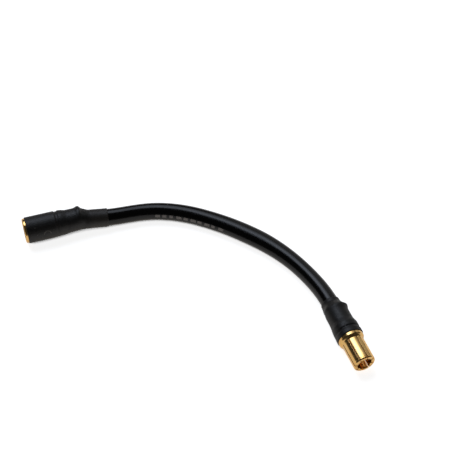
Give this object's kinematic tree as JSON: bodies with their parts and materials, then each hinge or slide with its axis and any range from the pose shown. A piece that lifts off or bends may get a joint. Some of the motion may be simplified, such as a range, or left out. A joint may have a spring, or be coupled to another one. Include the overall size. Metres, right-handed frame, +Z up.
{
  "type": "battery lead connector",
  "caption": "Short heavy battery extension lead: black silicone cable with a slotted gold bullet plug and its matching gold socket, each soldered on under a shrunk sleeve.",
  "frame": {"origin": "middle of the box round both contacts and their sleeves, on the surface that the lead lies on", "axes": "+Z up from that surface; +X from the socket's end towards the plug's end; +Y away from the plug, on the side to which the cable arches"},
  "size_m": [0.1294, 0.0751, 0.01],
  "materials": {
    "gold_contact": "polished gold plate over brass",
    "shrink_sleeve": "satin black shrunk polyolefin",
    "silicone_jacket": "smooth semi-gloss black silicone",
    "copper_strands": "bare bundle of fine tinned copper strands",
    "solder": "dull tin solder"
  },
  "bodies": {
    "root": {"cable_jacket": "silicone_jacket", "cable_strands": "copper_strands", "plug_body": "gold_contact", "plug_solder": "solder", "plug_sleeve": "shrink_sleeve", "socket_body": "gold_contact", "socket_solder": "solder", "socket_sleeve": "shrink_sleeve"}
  },
  "joints": []
}
